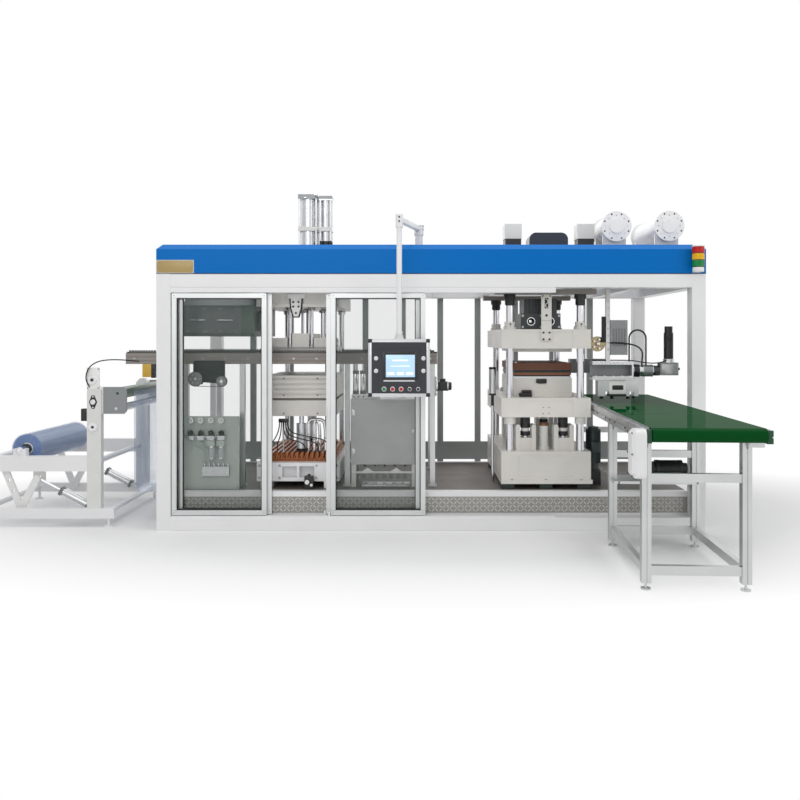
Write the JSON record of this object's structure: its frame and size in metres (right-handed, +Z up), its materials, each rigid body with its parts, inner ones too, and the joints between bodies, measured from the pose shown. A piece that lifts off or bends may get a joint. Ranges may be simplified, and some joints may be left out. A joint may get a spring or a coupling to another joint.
{
  "type": "blister forming machine",
  "caption": "Long enclosed thermoforming line for blister packs: film unwinder, heater, forming station, cutting press, stacker, sliding glass doors, swing panel and side delivery belt.",
  "frame": {"origin": "on the floor under the middle of the machine frame's footprint, on the underside of its middle cross beam", "axes": "+X along the machine from the film unwinder to the delivery belt, +Y from the operator side to the rear, +Z up"},
  "size_m": [6.26, 3.5886, 2.948],
  "materials": {
    "frame_paint": "semi-gloss",
    "cover_blue": "gloss",
    "beige_paint": "semi-gloss",
    "tread_plate": "embossed",
    "door_profile": "satin",
    "door_glass": "clear",
    "grey_steel": "satin",
    "dark_steel": "satin",
    "polished_steel": "polished",
    "cabinet_steel": "brushed",
    "panel_grey": "satin",
    "aluminium": "mill finish",
    "cooling_wood": "varnished",
    "die_board": "dark",
    "belt_green": "glossy",
    "pump_black": "painted",
    "panel_shell": "brushed",
    "film_blue": "clear film",
    "roller_rubber": "smooth",
    "lamp": "clear"
  },
  "bodies": {
    "machine": {"air_panel": "panel_grey", "bed_plates": "tread_plate", "bed_rails": "frame_paint", "belt_frame": "aluminium", "belt_legs": "aluminium", "belt_stretchers": "aluminium", "control_cabinet": "cabinet_steel", "cooling_plate": "cooling_wood", "corner_posts": "frame_paint", "cover_ends": "cover_blue", "cover_sides": "cover_blue", "cross_beams": "frame_paint", "crosshead": "beige_paint", "cutting_base": "beige_paint", "cutting_columns": "polished_steel", "delivery_belt": "belt_green", "door_tracks": "frame_paint", "drive_guard": "frame_paint", "film_rails": "grey_steel", "film_web": "film_blue", "forming_base": "frame_paint", "forming_columns": "polished_steel", "heater_hood": "grey_steel", "nip_rollers": "roller_rubber", "press_drive": "dark_steel", "rail_chains": "dark_steel", "rail_drive": "dark_steel", "rail_posts": "aluminium", "rear_guard": "grey_steel", "roof_cylinders": "frame_paint", "roof_drums": "frame_paint", "roof_motors": "frame_paint", "roof_plates": "frame_paint", "side_beams": "frame_paint", "signal_lamp": "lamp", "stacker_frame": "frame_paint", "stacker_motors": "dark_steel", "stand_beams": "frame_paint", "stand_columns": "frame_paint", "stand_cross_tubes": "frame_paint", "upper_platen": "beige_paint", "vacuum_pump": "pump_black"},
    "door_a": {"door_a_frame": "door_profile", "door_a_glass": "door_glass"},
    "door_b": {"door_b_frame": "door_profile", "door_b_glass": "door_glass"},
    "door_c": {"door_c_frame": "door_profile", "door_c_glass": "door_glass"},
    "door_d": {"door_d_frame": "door_profile", "door_d_glass": "door_glass"},
    "arm": {"panel_arm": "frame_paint"},
    "panel": {"panel_case": "panel_shell"},
    "lower_forming_table": {"lower_table": "beige_paint"},
    "upper_forming_table": {"upper_table": "beige_paint"},
    "press_table": {"lower_platen": "beige_paint", "die_set": "die_board"},
    "roll": {"film_roll": "film_blue"},
    "lever": {"loading_lever": "frame_paint"},
    "lever_cylinders": {"lift_cylinders": "aluminium"},
    "lever_rods": {"lift_rods": "polished_steel"}
  },
  "joints": [
    {"name": "door_a_slide", "type": "slide", "parent": "machine", "child": "door_a", "axis": [1, 0, 0], "range_m": [0, 0.515]},
    {"name": "door_b_slide", "type": "slide", "parent": "machine", "child": "door_b", "axis": [1, 0, 0], "range_m": [0, 0.436]},
    {"name": "door_c_slide", "type": "slide", "parent": "machine", "child": "door_c", "axis": [1, 0, 0], "range_m": [0, 1.08]},
    {"name": "door_d_slide", "type": "slide", "parent": "machine", "child": "door_d", "axis": [1, 0, 0], "range_m": [0, 1.12]},
    {"name": "arm_swing", "type": "hinge", "parent": "machine", "child": "arm", "pos_m": [-0.1, -0.625, 0], "axis": [0, 0, 1], "range_deg": [-8, 30]},
    {"name": "panel_turn", "type": "hinge", "parent": "arm", "child": "panel", "pos_m": [-0.262, -1.155, 1.6], "axis": [0, 0, 1], "range_deg": [-30, 30]},
    {"name": "lower_table_lift", "type": "slide", "parent": "machine", "child": "lower_forming_table", "axis": [0, 0, 1], "range_m": [0, 0.14]},
    {"name": "upper_table_lift", "type": "slide", "parent": "machine", "child": "upper_forming_table", "axis": [0, 0, 1], "range_m": [0, 0.17]},
    {"name": "press_table_lift", "type": "slide", "parent": "machine", "child": "press_table", "axis": [0, 0, 1], "range_m": [0, 0.085]},
    {"name": "roll_spin", "type": "hinge", "parent": "machine", "child": "roll", "pos_m": [-3.505, 0, 0.652], "axis": [0, 1, 0], "continuous": true},
    {"name": "lever_lift", "type": "hinge", "parent": "machine", "child": "lever", "pos_m": [-3.536, 0, 0.143], "axis": [0, -1, 0], "range_deg": [0, 20]},
    {"name": "cylinder_tilt", "type": "hinge", "parent": "machine", "child": "lever_cylinders", "pos_m": [-2.91, 0, 0.14], "axis": [0, -1, 0], "range_deg": [0, 1.6]},
    {"name": "rod_slide", "type": "slide", "parent": "lever_cylinders", "child": "lever_rods", "axis": [-0.8833, 0, 0.4687], "range_m": [0, 0.101]}
  ],
  "couplings": [
    {"joint": "cylinder_tilt", "follows": "lever_lift", "ratio": 0.077263},
    {"joint": "rod_slide", "follows": "lever_lift", "m_per_rad": 0.28552}
  ]
}
